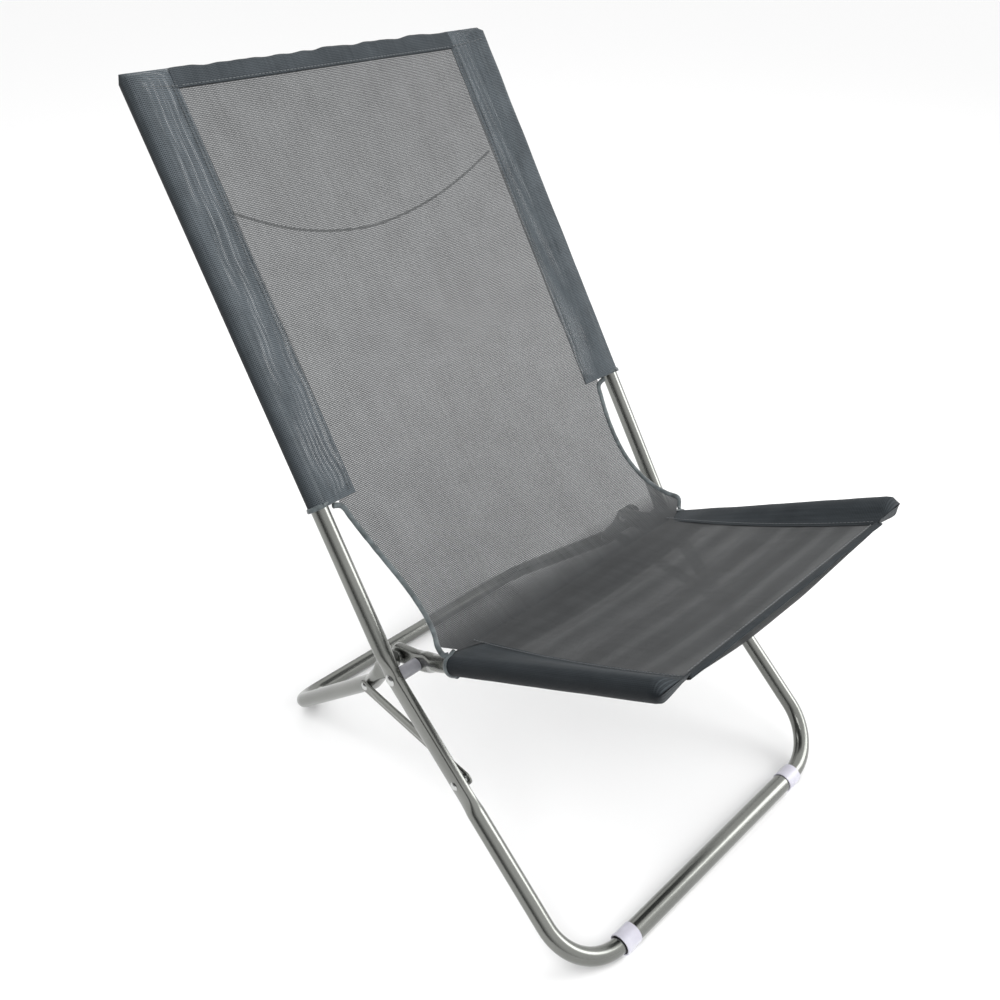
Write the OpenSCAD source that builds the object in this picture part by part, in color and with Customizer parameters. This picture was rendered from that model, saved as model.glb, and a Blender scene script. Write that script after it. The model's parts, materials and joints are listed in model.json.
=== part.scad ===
// Low folding camp chair. One steel tube frame carries the back and the front floor bar, a seat
// frame is hinged to it, a rear floor loop is hinged to the seat frame, and a flat brace on each
// side ties the loop to the front leg. A woven sling is sleeved over the back posts and seat rails.
// +Z is up, the chair faces -Y, and the floor is Z = 0.

/* [Main frame] */
// Half the spacing of the main frame's side tubes, centre line
frame_half = 228; // [200:1:280]
// Height of the main pivots above the floor
pivot_z = 242; // [200:1:300]
// Length of a back post, from the main pivot to its top end
back_len = 640; // [500:1:760]
// Angle of the back posts above horizontal
back_angle = 56; // [50:0.5:66]
// Reach of the front floor bar forward of the main pivots
front_reach = 275; // [235:1:320]
// Bend radius of the front corners, centre line
front_bend_r = 65; // [45:1:80]

/* [Tube] */
// Outer diameter of the frame tube
tube_d = 19; // [16:0.5:22]
// Wall of the frame tube
tube_wall = 1; // [0.8:0.1:1.5]
// Thickness of a tube where it is pressed flat at a pivot
flat_t = 12; // [9:0.5:13]
// Outer diameter of the front floor bar
bar_d = 22; // [21:0.5:25]
// Length of leg tube held inside each end of the front floor bar
spigot_len = 32; // [20:1:45]

/* [Foot sleeves] */
// Wall of the plastic sleeves on the front floor bar
foot_wall = 1.2; // [0.8:0.1:2]
// Length of a foot sleeve
foot_len = 22; // [14:1:30]

/* [Seat frame] */
// Half the spacing of the seat rails, centre line
seat_half = 191; // [165:1:240]
// Length of a seat rail, from the main pivot to its front end
seat_len = 338; // [270:1:380]
// Angle of the seat rails above horizontal
seat_angle = 29; // [20:0.5:34]
// Distance of the rear pivots behind the main pivots
rear_pivot_back = 34; // [30:1:40]
// Distance of the rear pivots below the main pivots
rear_pivot_drop = 10; // [6:1:14]

/* [Rear loop] */
// Half the spacing of the rear loop's legs, centre line
rear_half = 205; // [179:1:254]
// Reach of the rear floor bar behind the main pivots
rear_reach = 254; // [220:1:300]
// Bend radius of the rear corners, centre line
rear_bend_r = 45; // [35:1:60]

/* [Braces] */
// Distance from the main pivot down the front leg to the lower brace rivet
brace_foot_dist = 126; // [105:1:140]
// Distance of the upper brace rivets behind the main pivots
brace_top_back = 70; // [60:1:80]
// Distance of the upper brace rivets below the main pivots
brace_top_drop = 67; // [60:1:76]
// Width of a brace strip
brace_w = 16; // [12:1:20]
// Thickness of a brace strip
brace_t = 2.6; // [2:0.1:3]

/* [Pivots] */
// Diameter of the main pivot bolts
bolt_d = 6; // [5:0.5:8]
// Diameter of the rivets
rivet_d = 5; // [4:0.5:6]
// Radial running clearance in every pivot bore
run_clear = 0.05; // [0.03:0.01:0.08]
// Diameter of a main bolt head
bolt_head_d = 13; // [11:0.5:16]
// Diameter of a rivet head
rivet_head_d = 9.5; // [8:0.5:12]
// Outer diameter of the plastic spacers on the main bolts
spacer_d = 15; // [12:0.5:17]

/* [Sling] */
// Thickness of the CAD sling panels
cloth_t = 1.6; // [1:0.1:3]
// Gap between a tube and the sleeve round it
sleeve_gap = 0.3; // [0.2:0.1:1]
// Distance from the pivot up the back to the lower end of the back sleeves
back_sleeve_start = 194; // [150:1:240]
// Width of the flat double layer of a back sleeve, from the post's centre line
back_flap_w = 46; // [30:1:60]
// Distance from the pivot along the seat to the rear end of the seat sleeves
seat_sleeve_start = 58; // [45:1:90]
// Width of the flat double layer of a seat sleeve, from the rail's centre line
seat_flap_w = 33; // [20:1:45]
// Height of the seat panel's middle plane above the rails' centre plane, negative is below
seat_panel_lift = -6; // [-9:0.5:9]
// Depth of the hem at the top of the back
top_hem_w = 20; // [12:1:30]
// Depth of the hem at the front of the seat
front_hem_w = 10; // [6:1:20]
// Diameter of the piped binding along the side cut-outs
binding_d = 5; // [3:0.5:7]
// Diameter of the carry cord
cord_d = 3; // [2:0.5:5]

/* [Hidden] */
$fn = 48;
steel = "silver";
cloth = "dimgray";

// Sleeve and floor sizes that follow from the tube
sleeve_in = tube_d + 2 * sleeve_gap;
sleeve_out = sleeve_in + 2 * cloth_t;
sleeve_end_gap = 2;
foot_d = bar_d + 2 * foot_wall;
front_bar_z = foot_d / 2;
rear_bar_z = tube_d / 2;
back_sleeve_end = back_len + sleeve_end_gap + cloth_t + 5;
seat_sleeve_end = seat_len + sleeve_end_gap + cloth_t + 5;

// The origin is on the floor, midway between the chair's foremost and rearmost points
back_extent = back_sleeve_end * cos(back_angle) + sleeve_out / 2 * sin(back_angle);
front_extent = seat_sleeve_end * cos(seat_angle) + sleeve_out / 2 * sin(seat_angle);
pivot_y = (front_extent - back_extent) / 2;
pivot = [0, pivot_y, pivot_z];

// Directions in the side view, as angles from +Y towards +Z
leg_drop = pivot_z - front_bar_z;
leg_len = norm([front_reach, leg_drop]);
leg_dir = 180 + atan2(leg_drop, front_reach);
seat_dir = 180 - seat_angle;
tail_dir = -atan2(rear_pivot_drop, rear_pivot_back);
tail_len = norm([rear_pivot_back, rear_pivot_drop]);
knee = [brace_top_back, -brace_top_drop];
rear_pivot = [rear_pivot_back, -rear_pivot_drop];
rear_end = [rear_reach, rear_bar_z - pivot_z];
upper_run = norm(knee - rear_pivot);
upper_dir = atan2(knee[1] - rear_pivot[1], knee[0] - rear_pivot[0]);
lower_run = norm(rear_end - knee);
lower_dir = atan2(rear_end[1] - knee[1], rear_end[0] - knee[0]);
brace_foot = brace_foot_dist * [cos(leg_dir), sin(leg_dir)];
brace_len = norm(knee - brace_foot);
brace_dir = atan2(knee[1] - brace_foot[1], knee[0] - brace_foot[0]);

// Widths and lengths of the pressed flats
flat_w = tube_d + 3;
press_run = 15;
leg_flat_end = brace_foot_dist + 14;
rear_flat_end = 24;
knee_swell = 0.3;

// The stack across each side, measured from the chair's middle plane
frame_in = frame_half - flat_t / 2;
frame_out = frame_half + flat_t / 2;
seat_in = seat_half - flat_t / 2;
seat_out = seat_half + flat_t / 2;
rear_in = rear_half - flat_t / 2;
rear_out = rear_half + flat_t / 2;
layer_gap = 0.4;
brace_in = rear_half + tube_d / 2 + 1.2;
brace_out = brace_in + brace_t;
head_h = 3;
nut_h = 4;
rivet_head_h = 2;

// Side cut-out of the sling: half widths at the sleeve, the waist and the fold
waist_half = 168;
fold_half = 200;
fold_at = [-38, 50];
back_foot = (back_sleeve_start - 0.6) * [cos(back_angle), sin(back_angle)];
seat_start = (seat_sleeve_start + 4) * [cos(seat_dir), sin(seat_dir)] + seat_panel_lift * [sin(seat_dir), -cos(seat_dir)];

// Route of the carry cord, and of the binding down the right-hand cut-out
cord_path = [
    [182, 253, 656], [176, 254, 652], [166, 254, 647], [152, 254, 640], [134, 254, 632], [114, 254, 624],
    [92, 254, 617], [68, 254, 611], [46, 254, 607], [22, 254, 604], [0, 254, 603], [-22, 254, 604],
    [-46, 254, 607], [-68, 254, 611], [-92, 254, 617], [-114, 254, 624], [-134, 254, 632],
    [-152, 254, 640], [-166, 254, 647], [-176, 254, 652], [-182, 253, 656]
];

// ---- shapes shared by several pieces ----

module along(dir) {
    rotate([dir - 90, 0, 0]) children();
}

module at_side(half) {
    translate([half, pivot_y, pivot_z]) children();
}

module to_left() {
    mirror([1, 0, 0]) children();
}

module both_sides() {
    children();
    to_left() children();
}

// Tube pressed flat from its start to flat_to, then opening out to round
module pressed_tube(from, flat_to, to, inset, thinner = 0) {
    flat_r = flat_w / 2 - inset;
    round_r = tube_d / 2 - inset;
    t = (flat_t - thinner) / 2 - inset;
    w = tube_d / 2 + 1;
    open_at = flat_to + press_run;
    intersection() {
        rotate_extrude()
            polygon([[0, from], [flat_r, from], [flat_r, flat_to], [round_r, open_at], [round_r, to], [0, to]]);
        rotate([90, 0, 0]) linear_extrude(3 * tube_d, center = true) polygon([
            [-t, from - 1], [t, from - 1], [t, flat_to], [w, open_at],
            [w, to + 1], [-w, to + 1], [-w, open_at], [-t, flat_to]]);
    }
}

// The same the other way up: round for the length plain, then pressed flat up to the end
module tube_to_press(plain, to, inset) {
    flat_r = flat_w / 2 - inset;
    round_r = tube_d / 2 - inset;
    t = flat_t / 2 - inset;
    w = tube_d / 2 + 1;
    shut_at = plain + press_run;
    intersection() {
        rotate_extrude()
            polygon([[0, 0], [round_r, 0], [round_r, plain], [flat_r, shut_at], [flat_r, to], [0, to]]);
        rotate([90, 0, 0]) linear_extrude(3 * tube_d, center = true) polygon([
            [-w, -1], [w, -1], [w, plain], [t, shut_at],
            [t, to + 1], [-t, to + 1], [-t, shut_at], [-w, plain]]);
    }
}

// Short pressed end running to a nose round the point z = to
module pressed_end(from, to, inset) {
    r = flat_w / 2;
    intersection() {
        translate([0, 0, from]) cylinder(h = to + r - from, d = flat_w - 2 * inset);
        translate([-flat_t / 2 + inset, -2 * r, from - 1]) cube([flat_t - 2 * inset, 4 * r, 4 * r + to - from]);
        rotate([90, 0, 90]) linear_extrude(2 * tube_d, center = true) polygon([
            [-r - 4, from - 2], [r + 4, from - 2], [r + 4, to], [0.8 * r, to + 0.6 * r - inset], [0.4 * r, to + 0.93 * r - inset],
            [-0.4 * r, to + 0.93 * r - inset], [-0.8 * r, to + 0.6 * r - inset], [-r - 4, to]]);
    }
}

module cross_bore(x0, x1, p, d) {
    translate([x0, p[0], p[1]]) rotate([0, 90, 0]) cylinder(h = x1 - x0, d = d);
}

// Leg, quarter bend and the start of a floor bar, drawn with the corner point of the two axes
// at the origin, the floor bar towards -X and the leg rising along +Y
module bent_leg(r, straight, bar_run, inset) {
    if (bar_run > 0)
        translate([-r, 0, 0]) rotate([0, -90, 0]) cylinder(h = bar_run, d = tube_d - 2 * inset);
    translate([-r, r, 0]) rotate([0, 0, -90])
        rotate_extrude(angle = 90) translate([r, 0]) circle(d = tube_d - 2 * inset);
    translate([0, r, 0]) rotate([-90, 0, 0]) cylinder(h = straight, d = tube_d - 2 * inset);
}

// Low domed head, its flat face at z = 0
module dome(d, h) {
    sphere_r = (d * d / 4 + h * h) / (2 * h);
    intersection() {
        translate([0, 0, h - sphere_r]) sphere(r = sphere_r);
        cylinder(h = h, d = d);
    }
}

module out_dome(x, p, d, h) {
    translate([x, p[0], p[1]]) rotate([0, 90, 0]) dome(d, h);
}

module in_dome(x, p, d, h) {
    translate([x, p[0], p[1]]) rotate([0, -90, 0]) dome(d, h);
}

// Closed tube swept along a list of points
function unit(v) = v / norm(v);
function tangent(p, i) = unit(p[min(i + 1, len(p) - 1)] - p[max(i - 1, 0)]);
module sweep(path, d, sides, up) {
    count = len(path);
    points = [for (i = [0 : count - 1]) let (t = tangent(path, i), u = unit(cross(t, up)), v = cross(u, t))
        for (k = [0 : sides - 1]) path[i] + d / 2 * (cos(360 * k / sides) * u + sin(360 * k / sides) * v)];
    walls = [for (i = [0 : count - 2]) for (k = [0 : sides - 1])
        let (n = (k + 1) % sides) each [
            [i * sides + k, i * sides + n, (i + 1) * sides + n],
            [i * sides + k, (i + 1) * sides + n, (i + 1) * sides + k]]];
    start_cap = [for (k = [1 : sides - 2]) [0, k + 1, k]];
    last = (count - 1) * sides;
    end_cap = [for (k = [1 : sides - 2]) [last, last + k, last + k + 1]];
    polyhedron(points = points, faces = concat(walls, start_cap, end_cap));
}

// ---- main frame ----

module frame_tube_form(inset) {
    over = inset > 0 ? 1 : 0;
    stub = 20;
    rest = leg_len - front_bend_r - stub;
    at_side(frame_half) along(back_angle) pressed_tube(-2, 5, back_len + over, inset, 0.4);
    translate([frame_half, pivot_y - front_reach, front_bar_z]) rotate([leg_dir - 180, 0, 0]) {
        bent_leg(front_bend_r, stub, spigot_len + over, inset);
        translate([0, front_bend_r + stub, 0]) rotate([-90, 0, 0])
            tube_to_press(rest - leg_flat_end - press_run, rest + 3, inset);
    }
}

module frame_tube() {
    color(steel) difference() {
        frame_tube_form(0);
        frame_tube_form(tube_wall);
        at_side(0) {
            cross_bore(frame_in - 2, frame_out + 2, [0, 0], bolt_d);
            cross_bore(frame_in - 2, frame_out + 2, brace_foot, rivet_d);
        }
    }
}

module frame_tube_left() {
    to_left() frame_tube();
}

module frame_tube_right() {
    frame_tube();
}

module front_floor_bar() {
    bar_half = frame_half - front_bend_r;
    color(steel) translate([-bar_half, pivot_y - front_reach, front_bar_z]) rotate([0, 90, 0])
        difference() {
            cylinder(h = 2 * bar_half, d = bar_d);
            translate([0, 0, -1]) cylinder(h = 2 * bar_half + 2, d = tube_d + 0.1);
        }
}

module foot_sleeve() {
    x1 = frame_half - front_bend_r + 3;
    color("slategray") translate([x1 - foot_len, pivot_y - front_reach, front_bar_z]) rotate([0, 90, 0])
        difference() {
            cylinder(h = foot_len, d = foot_d);
            translate([0, 0, -1]) cylinder(h = foot_len + 2, d = bar_d + 0.04);
        }
}

module foot_sleeve_left() {
    to_left() foot_sleeve();
}

module foot_sleeve_right() {
    foot_sleeve();
}

// Push-in plug with a flat flange over the tube's end
module end_plug() {
    plug_len = 12;
    flange_t = 1.6;
    translate([0, 0, -plug_len]) cylinder(h = plug_len, d = tube_d - 2 * tube_wall - 0.04);
    cylinder(h = flange_t, d = tube_d);
}

module back_end_plugs() {
    color("black") both_sides() at_side(frame_half) along(back_angle) translate([0, 0, back_len]) end_plug();
}

module main_bolts() {
    color(steel) both_sides() at_side(0) {
        cross_bore(seat_in - layer_gap - nut_h, frame_out + 0.2, [0, 0], bolt_d);
        out_dome(frame_out + 0.1, [0, 0], bolt_head_d, head_h);
    }
}

module main_bolt_nuts() {
    color(steel) both_sides() at_side(0) difference() {
        translate([seat_in - layer_gap - nut_h, 0, 0]) rotate([0, 90, 0]) cylinder(h = nut_h, d = 11, $fn = 6);
        cross_bore(seat_in - layer_gap - nut_h - 1, seat_in, [0, 0], bolt_d);
    }
}

module pivot_spacers() {
    color("lightgray") both_sides() at_side(0) difference() {
        cross_bore(seat_out + layer_gap, frame_in - 0.1, [0, 0], spacer_d);
        cross_bore(seat_out, frame_in + 1, [0, 0], bolt_d + 0.1);
    }
}

module brace_lower_rivets() {
    color(steel) both_sides() at_side(0) {
        cross_bore(brace_in - layer_gap - 0.5, frame_out + 0.2, brace_foot, rivet_d);
        out_dome(frame_out + 0.1, brace_foot, rivet_head_d, rivet_head_h);
        in_dome(brace_in - layer_gap, brace_foot, rivet_head_d, rivet_head_h);
    }
}

module brace_washers() {
    color(steel) both_sides() at_side(0) difference() {
        cross_bore(brace_out + layer_gap, frame_in, brace_foot, rivet_head_d);
        cross_bore(brace_out, frame_in + 1, brace_foot, rivet_d);
    }
}

// ---- sling, as plain closed solids ----

// Sleeve round a side tube with its flat double layer, closed at the far end
module sleeve_form(from, to, flap_w, lift, tube_end) {
    difference() {
        translate([0, 0, from]) linear_extrude(to - from) union() {
            circle(d = sleeve_out);
            translate([-flap_w, lift - cloth_t]) square([flap_w, 2 * cloth_t]);
        }
        translate([0, 0, from - 1]) cylinder(h = tube_end + sleeve_end_gap - from + 1, d = sleeve_in);
    }
}

module back_sleeve() {
    color(cloth) at_side(frame_half) along(back_angle)
        sleeve_form(back_sleeve_start, back_sleeve_end, back_flap_w, 0, back_len);
}

module back_sleeve_left() {
    to_left() back_sleeve();
}

module back_sleeve_right() {
    back_sleeve();
}

module back_sling() {
    half = frame_half - back_flap_w;
    color(cloth) at_side(0) along(back_angle)
        translate([-half, -cloth_t / 2, back_sleeve_start])
            cube([2 * half, cloth_t, back_sleeve_end - top_hem_w - back_sleeve_start]);
}

module top_hem() {
    half = frame_half - back_flap_w;
    color(cloth) at_side(0) along(back_angle)
        translate([-half, -cloth_t, back_sleeve_end - top_hem_w]) cube([2 * half, 2 * cloth_t, top_hem_w]);
}

module seat_sleeve() {
    color(cloth) at_side(seat_half) along(seat_dir)
        sleeve_form(seat_sleeve_start, seat_sleeve_end, seat_flap_w, -seat_panel_lift, seat_len);
}

module seat_sleeve_left() {
    to_left() seat_sleeve();
}

module seat_sleeve_right() {
    seat_sleeve();
}

module seat_sling() {
    half = seat_half - seat_flap_w;
    from = seat_sleeve_start + 4;
    color(cloth) at_side(0) along(seat_dir)
        translate([-half, -seat_panel_lift - cloth_t / 2, from])
            cube([2 * half, cloth_t, seat_sleeve_end - front_hem_w - from]);
}

module front_hem() {
    half = seat_half - seat_flap_w;
    color(cloth) at_side(0) along(seat_dir)
        translate([-half, -seat_panel_lift - cloth_t, seat_sleeve_end - front_hem_w])
            cube([2 * half, 2 * cloth_t, front_hem_w]);
}

// Side-view line of the sling below the sleeves: a bowed run down to the fold, then on to the seat
function bow(u) = (1 - u) * (1 - u) * back_foot + 2 * u * (1 - u) * bow_mid + u * u * fold_at;
bow_mid = 90 * [cos(back_angle), sin(back_angle)];
bow_steps = 10;
fold_line = concat([for (i = [0 : bow_steps]) bow(i / bow_steps)], [seat_start]);
function side_normal(p, i) = let (t = unit(p[min(i + 1, len(p) - 1)] - p[max(i - 1, 0)])) [t[1], -t[0]];

// Right-hand cut-out edge: in from the sleeve's lower end to the waist, then out to the fold
flap_edge = frame_half - back_flap_w;
function edge_half(u) = u < 0.6
    ? waist_half + (flap_edge + 22 - waist_half) * pow(1 - u / 0.6, 2)
    : waist_half + (fold_half - waist_half) * pow((u - 0.6) / 0.4, 2);
edge_steps = 16;
edge_path = [for (i = [0 : edge_steps]) let (u = 0.05 + 0.93 * i / edge_steps, p = bow(u))
    [edge_half(u), pivot_y + p[0], pivot_z + p[1]]];

module fold_sling() {
    inner = [for (i = [0 : len(fold_line) - 1]) fold_line[i] + side_normal(fold_line, i) * cloth_t / 2];
    outer = [for (i = [len(fold_line) - 1 : -1 : 0]) fold_line[i] - side_normal(fold_line, i) * cloth_t / 2];
    inset = binding_d / 2 + 2.5;
    seam_half = seat_half - seat_flap_w;
    edge = concat(
        [for (i = [0 : edge_steps]) let (u = i / edge_steps) [edge_half(u) - inset, bow(u)[1] + (i == 0 ? 5 : 0)]],
        [[seat_half - sleeve_out / 2 - 2, fold_at[1] - 6], [seam_half - 1, seat_start[1] + 9], [seam_half - 1, seat_start[1] - 5]]);
    back_edge = [for (i = [len(edge) - 1 : -1 : 0]) [-edge[i][0], edge[i][1]]];
    color(cloth) at_side(0) intersection() {
        translate([-1.2 * frame_half, 0, 0]) rotate([90, 0, 90])
            linear_extrude(2.4 * frame_half) polygon(concat(inner, outer));
        rotate([90, 0, 0]) linear_extrude(2 * frame_half, center = true) polygon(concat(edge, back_edge));
    }
}

module binding() {
    color("gray") sweep(edge_path, binding_d, 8, [0, -sin(back_angle), cos(back_angle)]);
}

module binding_left() {
    to_left() binding();
}

module binding_right() {
    binding();
}

module carry_cord() {
    color("white") sweep(cord_path, cord_d, 8, [0, -sin(back_angle), cos(back_angle)]);
}

// ---- seat frame ----

module seat_rail_form(inset) {
    over = inset > 0 ? 1 : 0;
    at_side(seat_half) {
        along(tail_dir) pressed_end(-2, tail_len, inset);
        along(seat_dir) pressed_tube(-2, 12, seat_len + over, inset);
    }
}

module seat_rail() {
    color(steel) difference() {
        seat_rail_form(0);
        seat_rail_form(tube_wall);
        at_side(0) {
            cross_bore(seat_in - 2, seat_out + 2, [0, 0], bolt_d + 2 * run_clear);
            cross_bore(seat_in - 2, seat_out + 2, rear_pivot, rivet_d);
        }
    }
}

module seat_rail_left() {
    to_left() seat_rail();
}

module seat_rail_right() {
    seat_rail();
}

module seat_end_plugs() {
    color("black") both_sides() at_side(seat_half) along(seat_dir) translate([0, 0, seat_len]) end_plug();
}

module rear_pivot_rivets() {
    color(steel) both_sides() at_side(0) {
        cross_bore(seat_in - 0.2, rear_out + layer_gap + 0.2, rear_pivot, rivet_d);
        out_dome(rear_out + layer_gap, rear_pivot, rivet_head_d, rivet_head_h);
        in_dome(seat_in, rear_pivot, rivet_head_d, rivet_head_h);
    }
}

module rear_pivot_washers() {
    color(steel) both_sides() at_side(0) difference() {
        cross_bore(seat_out, rear_in - layer_gap, rear_pivot, rivet_head_d + 3);
        cross_bore(seat_out - 1, rear_in, rear_pivot, rivet_d);
    }
}

// ---- rear loop ----

module rear_leg_form(inset) {
    at_side(rear_half) translate([0, rear_pivot[0], rear_pivot[1]]) {
        along(upper_dir) pressed_tube(0, rear_flat_end, upper_run, inset);
        along(upper_dir + 180) pressed_end(-0.1, 0, inset);
    }
    at_side(rear_half) translate([0, knee[0], knee[1]]) sphere(d = tube_d - 2 * inset + 2 * knee_swell);
    translate([rear_half, pivot_y + rear_reach, rear_bar_z]) rotate([lower_dir + 180, 0, 0])
        bent_leg(rear_bend_r, lower_run - rear_bend_r, inset > 0 ? 1 : 0, inset);
}

module rear_leg() {
    color(steel) difference() {
        rear_leg_form(0);
        rear_leg_form(tube_wall);
        at_side(0) {
            cross_bore(rear_in - 2, rear_out + 2, rear_pivot, rivet_d + 2 * run_clear);
            cross_bore(rear_half - tube_d, rear_half + tube_d, knee, rivet_d);
        }
    }
}

module rear_leg_left() {
    to_left() rear_leg();
}

module rear_leg_right() {
    rear_leg();
}

module rear_floor_bar() {
    half = rear_half - rear_bend_r;
    color(steel) translate([-half, pivot_y + rear_reach, rear_bar_z]) rotate([0, 90, 0]) difference() {
        cylinder(h = 2 * half, d = tube_d);
        translate([0, 0, -1]) cylinder(h = 2 * half + 2, d = tube_d - 2 * tube_wall);
    }
}

module brace_anchor_rivets() {
    color(steel) both_sides() at_side(0) {
        cross_bore(rear_half - tube_d / 2 - 0.2, rear_half + tube_d / 2, knee, rivet_d);
        in_dome(rear_half - tube_d / 2 + 0.3, knee, rivet_head_d, rivet_head_h);
    }
}

// ---- braces ----

module brace() {
    color(steel) at_side(0) difference() {
        union() {
            for (p = [brace_foot, knee]) cross_bore(brace_in, brace_out, p, brace_w);
            translate([brace_in, brace_foot[0], brace_foot[1]]) rotate([brace_dir, 0, 0])
                translate([0, 0, -brace_w / 2]) cube([brace_t, brace_len, brace_w]);
        }
        cross_bore(brace_in - 1, brace_out + 1, brace_foot, rivet_d + 2 * run_clear);
        cross_bore(brace_in - 1, brace_out + 1, knee, rivet_d);
    }
}

module brace_left() {
    to_left() brace();
}

module brace_right() {
    brace();
}

module brace_upper_rivets() {
    color(steel) both_sides() at_side(0) {
        cross_bore(brace_in, brace_out + 0.2, knee, rivet_d);
        out_dome(brace_out, knee, rivet_head_d, rivet_head_h);
    }
}

frame_tube_left();
frame_tube_right();
front_floor_bar();
foot_sleeve_left();
foot_sleeve_right();
back_end_plugs();
main_bolts();
main_bolt_nuts();
pivot_spacers();
brace_lower_rivets();
brace_washers();
back_sling();
back_sleeve_left();
back_sleeve_right();
top_hem();
carry_cord();
seat_rail_left();
seat_rail_right();
seat_end_plugs();
rear_pivot_rivets();
rear_pivot_washers();
seat_sling();
seat_sleeve_left();
seat_sleeve_right();
front_hem();
rear_leg_left();
rear_leg_right();
rear_floor_bar();
brace_anchor_rivets();
brace_left();
brace_right();
brace_upper_rivets();
fold_sling();
binding_left();
binding_right();
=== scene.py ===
import json
import math
from math import cos, pi, radians, sin

import bmesh
import bpy
from mathutils import Matrix, Vector, noise


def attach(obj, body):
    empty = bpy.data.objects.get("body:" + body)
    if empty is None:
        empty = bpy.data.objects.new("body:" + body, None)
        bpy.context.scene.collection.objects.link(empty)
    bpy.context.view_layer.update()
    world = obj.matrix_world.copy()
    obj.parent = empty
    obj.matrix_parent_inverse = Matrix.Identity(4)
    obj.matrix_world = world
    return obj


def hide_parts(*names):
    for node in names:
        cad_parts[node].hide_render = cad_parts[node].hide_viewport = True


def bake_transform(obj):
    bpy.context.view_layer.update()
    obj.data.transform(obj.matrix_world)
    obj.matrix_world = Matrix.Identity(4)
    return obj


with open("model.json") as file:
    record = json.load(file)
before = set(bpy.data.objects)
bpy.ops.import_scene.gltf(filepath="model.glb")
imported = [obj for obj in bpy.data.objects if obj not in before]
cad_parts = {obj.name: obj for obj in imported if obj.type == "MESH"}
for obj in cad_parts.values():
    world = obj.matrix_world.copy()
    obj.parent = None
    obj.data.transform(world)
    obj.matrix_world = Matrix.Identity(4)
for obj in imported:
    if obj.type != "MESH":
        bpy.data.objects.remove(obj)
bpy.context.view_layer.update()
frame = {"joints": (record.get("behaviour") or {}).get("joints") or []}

# ---------------------------------------------------------------------------
# Studio and camera. A seamless pale floor, three large soft lamps and a camera at the height
# of a person standing beside the chair.
# ---------------------------------------------------------------------------

scene = bpy.context.scene
scene.view_settings.view_transform = "Standard"
scene.view_settings.look = "None"

joint = {j["name"]: j for j in frame["joints"]}
PIVOT = Vector(joint["seat_fold"]["pos_m"])

camera_data = bpy.data.cameras.new("studio_camera")
camera_data.sensor_width = 36.0
camera_data.lens = 35.7
camera_data.clip_end = 60.0
camera = bpy.data.objects.new("studio_camera", camera_data)
scene.collection.objects.link(camera)
camera_turn, camera_height, camera_roll = radians(-45.0), radians(33.15), radians(0.76)
camera_at = Vector((-0.691, PIVOT.y - 0.615, 0.963))
to_camera = Vector((sin(camera_turn) * cos(camera_height), -cos(camera_turn) * cos(camera_height),
                    sin(camera_height)))
level_right = (-to_camera).cross(Vector((0, 0, 1))).normalized()
level_up = level_right.cross(-to_camera).normalized()
right = level_right * cos(camera_roll) + level_up * sin(camera_roll)
up = level_up * cos(camera_roll) - level_right * sin(camera_roll)
camera_axes = Matrix((right, up, to_camera)).transposed().to_4x4()
camera.matrix_world = Matrix.Translation(camera_at) @ camera_axes
scene.camera = camera

FLOOR_REACH = 30
floor_corners = [(x * FLOOR_REACH, y * FLOOR_REACH, 0) for x, y in ((-1, -1), (1, -1), (1, 1), (-1, 1))]
floor_mesh = bpy.data.meshes.new("studio_floor")
floor_mesh.from_pydata(floor_corners, [], [(0, 1, 2, 3)])
floor = bpy.data.objects.new("studio_floor", floor_mesh)
scene.collection.objects.link(floor)
floor.location.z = -0.0005


def set_sockets(node, values):
    """Sets a node's sockets by name."""
    for socket, value in values.items():
        node.inputs[socket].default_value = value
    return node


def new_finish(name, values):
    """A new material with its shader's own sockets set, then its nodes, links and shader to add to."""
    finish = bpy.data.materials.new(name)
    finish.use_nodes = True
    tree = finish.node_tree
    return finish, tree.nodes, tree.links, set_sockets(tree.nodes["Principled BSDF"], values)


floor_paint = new_finish("pale_floor", {"Base Color": (0.93, 0.93, 0.93, 1), "Roughness": 0.85,
                                        "Specular IOR Level": 0.2})[0]
floor_mesh.materials.append(floor_paint)

# White room, darker low on the left, so that the round tubes show a bright and a dark side.
world = bpy.data.worlds.new("studio_white")
world.use_nodes = True
scene.world = world
nodes, links = world.node_tree.nodes, world.node_tree.links
sky = set_sockets(nodes["Background"], {"Color": (1.0, 1.0, 1.0, 1)})
room = nodes.new("ShaderNodeTexCoord")
lean = nodes.new("ShaderNodeVectorMath")
lean.operation = "DOT_PRODUCT"
lean.inputs[1].default_value = (0.62, -0.30, 0.72)
walls = set_sockets(nodes.new("ShaderNodeMapRange"),
                    {"From Min": -0.35, "From Max": 0.55, "To Min": 0.10, "To Max": 1.25})
walls.interpolation_type = "SMOOTHSTEP"
seen = nodes.new("ShaderNodeLightPath")
plain = set_sockets(nodes.new("ShaderNodeMix"), {"B": 1.0})
links.new(room.outputs["Generated"], lean.inputs[0])
links.new(lean.outputs["Value"], walls.inputs["Value"])
links.new(seen.outputs["Is Camera Ray"], plain.inputs["Factor"])
links.new(walls.outputs["Result"], plain.inputs["A"])
links.new(plain.outputs["Result"], sky.inputs["Strength"])


def softbox(name, place, aim, size, power):
    """A rectangular lamp that faces a point."""
    lamp_data = bpy.data.lights.new(name, "AREA")
    lamp_data.shape = "RECTANGLE"
    lamp_data.size, lamp_data.size_y = size
    lamp_data.energy = power
    lamp = bpy.data.objects.new(name, lamp_data)
    scene.collection.objects.link(lamp)
    lamp.location = place
    lamp.rotation_euler = (Vector(aim) - Vector(place)).to_track_quat("-Z", "Y").to_euler()


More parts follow.
